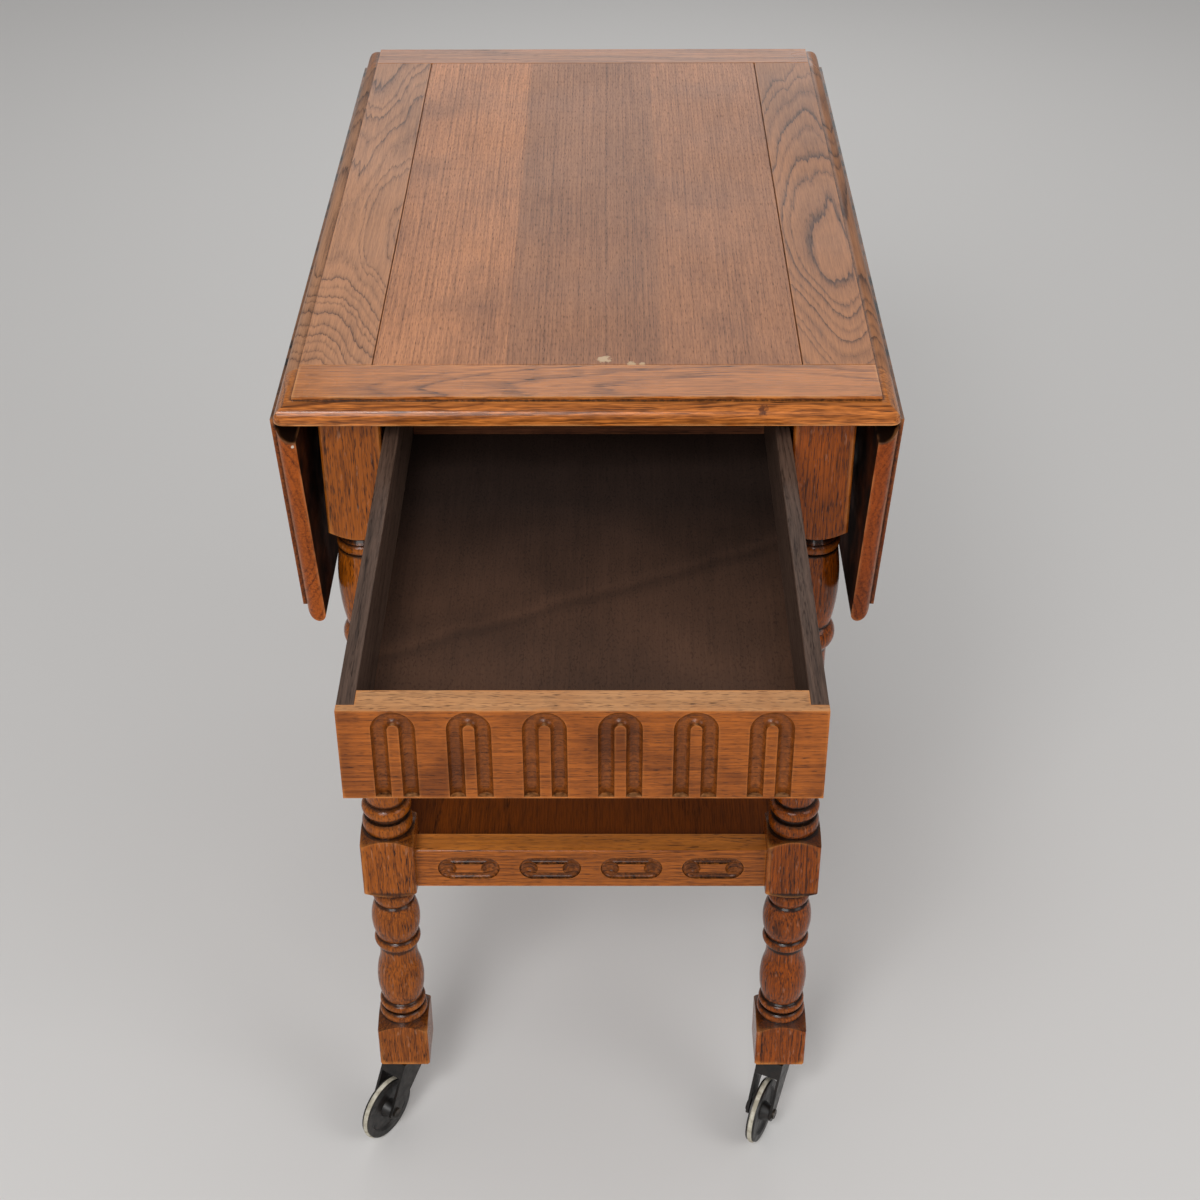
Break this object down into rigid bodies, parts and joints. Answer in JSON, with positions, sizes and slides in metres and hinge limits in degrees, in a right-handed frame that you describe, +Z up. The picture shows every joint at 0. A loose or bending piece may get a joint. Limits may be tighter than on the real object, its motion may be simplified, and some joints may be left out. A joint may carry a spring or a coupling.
{
  "type": "drop leaf tea trolley",
  "caption": "Turned oak tea trolley with drop leaves, a carved drawer pulled out, a lower shelf and swivel casters.",
  "frame": {"origin": "on the floor, under the middle of the object's bounding box as it stands with the drawer pulled out", "axes": "+X to the right as seen from the drawer end, +Y from the drawer end to the far end, +Z up"},
  "size_m": [0.4108, 0.912, 0.72],
  "materials": {
    "oak_top": "satin, waxed",
    "oak_leaf": "satin, polished",
    "oak_leg": "gloss, polished",
    "oak_carved": "gloss, polished",
    "oak_shelf": "satin",
    "oak_carcase": "satin",
    "drawer_lining": "matt, stained",
    "drawer_ply": "matt, stained",
    "hinge_steel": "dull",
    "caster_black": "worn black",
    "axle_steel": "dull",
    "wheel_black": "worn black",
    "tyre_grey": "matt"
  },
  "bodies": {
    "frame": {"top_panel": "oak_top", "top_left_board": "oak_top", "top_right_board": "oak_top", "top_front_rail": "oak_top", "top_back_rail": "oak_top", "front_left_leg": "oak_leg", "front_right_leg": "oak_leg", "back_left_leg": "oak_leg", "back_right_leg": "oak_leg", "left_apron": "oak_carcase", "right_apron": "oak_carcase", "back_apron": "oak_carcase", "upper_front_rail": "oak_carcase", "lower_front_rail": "oak_carcase", "left_runner": "oak_carcase", "right_runner": "oak_carcase", "drawer_kickers": "oak_carcase", "drawer_stops": "oak_carcase", "left_lopers": "oak_carcase", "right_lopers": "oak_carcase", "loper_keepers": "oak_carcase", "shelf_front_rail": "oak_carved", "shelf_back_rail": "oak_carved", "shelf_left_rail": "oak_carved", "shelf_right_rail": "oak_carved", "shelf_board": "oak_shelf", "left_hinge_top_plates": "hinge_steel", "right_hinge_top_plates": "hinge_steel", "left_hinge_pins": "hinge_steel", "right_hinge_pins": "hinge_steel", "caster_plates": "caster_black"},
    "left_leaf": {"left_leaf": "oak_leaf", "left_hinge_leaf_plates": "hinge_steel"},
    "right_leaf": {"right_leaf": "oak_leaf", "right_hinge_leaf_plates": "hinge_steel"},
    "drawer": {"drawer_front": "oak_carved", "drawer_left_side": "drawer_lining", "drawer_right_side": "drawer_lining", "drawer_back": "drawer_lining", "drawer_bottom": "drawer_ply"},
    "front_left_caster": {"front_left_horn": "caster_black", "front_left_axle": "axle_steel"},
    "front_left_wheel": {"front_left_wheel": "wheel_black", "front_left_tyre": "tyre_grey"},
    "front_right_caster": {"front_right_horn": "caster_black", "front_right_axle": "axle_steel"},
    "front_right_wheel": {"front_right_wheel": "wheel_black", "front_right_tyre": "tyre_grey"},
    "back_left_caster": {"back_left_horn": "caster_black", "back_left_axle": "axle_steel"},
    "back_left_wheel": {"back_left_wheel": "wheel_black", "back_left_tyre": "tyre_grey"},
    "back_right_caster": {"back_right_horn": "caster_black", "back_right_axle": "axle_steel"},
    "back_right_wheel": {"back_right_wheel": "wheel_black", "back_right_tyre": "tyre_grey"}
  },
  "joints": [
    {"name": "drawer_slide", "type": "slide", "parent": "frame", "child": "drawer", "axis": [0, -1, 0], "range_m": [-0.292, 0.04]},
    {"name": "left_leaf_hinge", "type": "hinge", "parent": "frame", "child": "left_leaf", "pos_m": [-0.19, 0.135, 0.7045], "axis": [0, 1, 0], "range_deg": [0, 93.4]},
    {"name": "right_leaf_hinge", "type": "hinge", "parent": "frame", "child": "right_leaf", "pos_m": [0.19, 0.135, 0.7045], "axis": [0, -1, 0], "range_deg": [0, 93.4]},
    {"name": "front_left_swivel", "type": "hinge", "parent": "frame", "child": "front_left_caster", "pos_m": [-0.156, -0.1455, 0.07], "axis": [0, 0, 1], "continuous": true},
    {"name": "front_left_wheel_spin", "type": "hinge", "parent": "front_left_caster", "child": "front_left_wheel", "pos_m": [-0.17435, -0.17171, 0.0285], "axis": [0.8192, -0.5736, 0], "continuous": true},
    {"name": "front_right_swivel", "type": "hinge", "parent": "frame", "child": "front_right_caster", "pos_m": [0.156, -0.1455, 0.07], "axis": [0, 0, 1], "continuous": true},
    {"name": "front_right_wheel_spin", "type": "hinge", "parent": "front_right_caster", "child": "front_right_wheel", "pos_m": [0.14248, -0.1745, 0.0285], "axis": [0.9063, -0.4226, 0], "continuous": true},
    {"name": "back_left_swivel", "type": "hinge", "parent": "frame", "child": "back_left_caster", "pos_m": [-0.156, 0.4155, 0.07], "axis": [0, 0, 1], "continuous": true},
    {"name": "back_left_wheel_spin", "type": "hinge", "parent": "back_left_caster", "child": "back_left_wheel", "pos_m": [-0.16952, 0.3865, 0.0285], "axis": [0.9063, -0.4226, 0], "continuous": true},
    {"name": "back_right_swivel", "type": "hinge", "parent": "frame", "child": "back_right_caster", "pos_m": [0.156, 0.4155, 0.07], "axis": [0, 0, 1], "continuous": true},
    {"name": "back_right_wheel_spin", "type": "hinge", "parent": "back_right_caster", "child": "back_right_wheel", "pos_m": [0.13952, 0.38807, 0.0285], "axis": [0.8572, -0.515, 0], "continuous": true}
  ]
}
